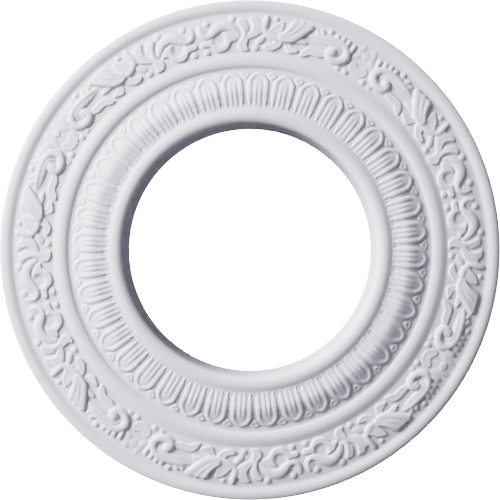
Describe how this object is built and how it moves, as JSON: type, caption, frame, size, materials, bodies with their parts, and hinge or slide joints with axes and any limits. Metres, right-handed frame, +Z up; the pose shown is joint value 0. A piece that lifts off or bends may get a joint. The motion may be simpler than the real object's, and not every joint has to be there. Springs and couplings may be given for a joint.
{
  "type": "ceiling rose",
  "caption": "Round ceiling rose, a flat-backed moulded ring with a leaf band, a scroll frieze and a wide central hole.",
  "frame": {"origin": "centre of the hole on the plane of the flat back, where the rose meets the ceiling", "axes": "+Z up into the ceiling, so the carved face looks down -Z; +X and +Y along the ceiling"},
  "size_m": [0.206, 0.206, 0.016],
  "materials": {
    "primed_foam": "white factory primer on moulded rigid polyurethane foam, matt and smooth"
  },
  "bodies": {
    "root": {"ceiling_rose": "primed_foam"}
  },
  "joints": []
}
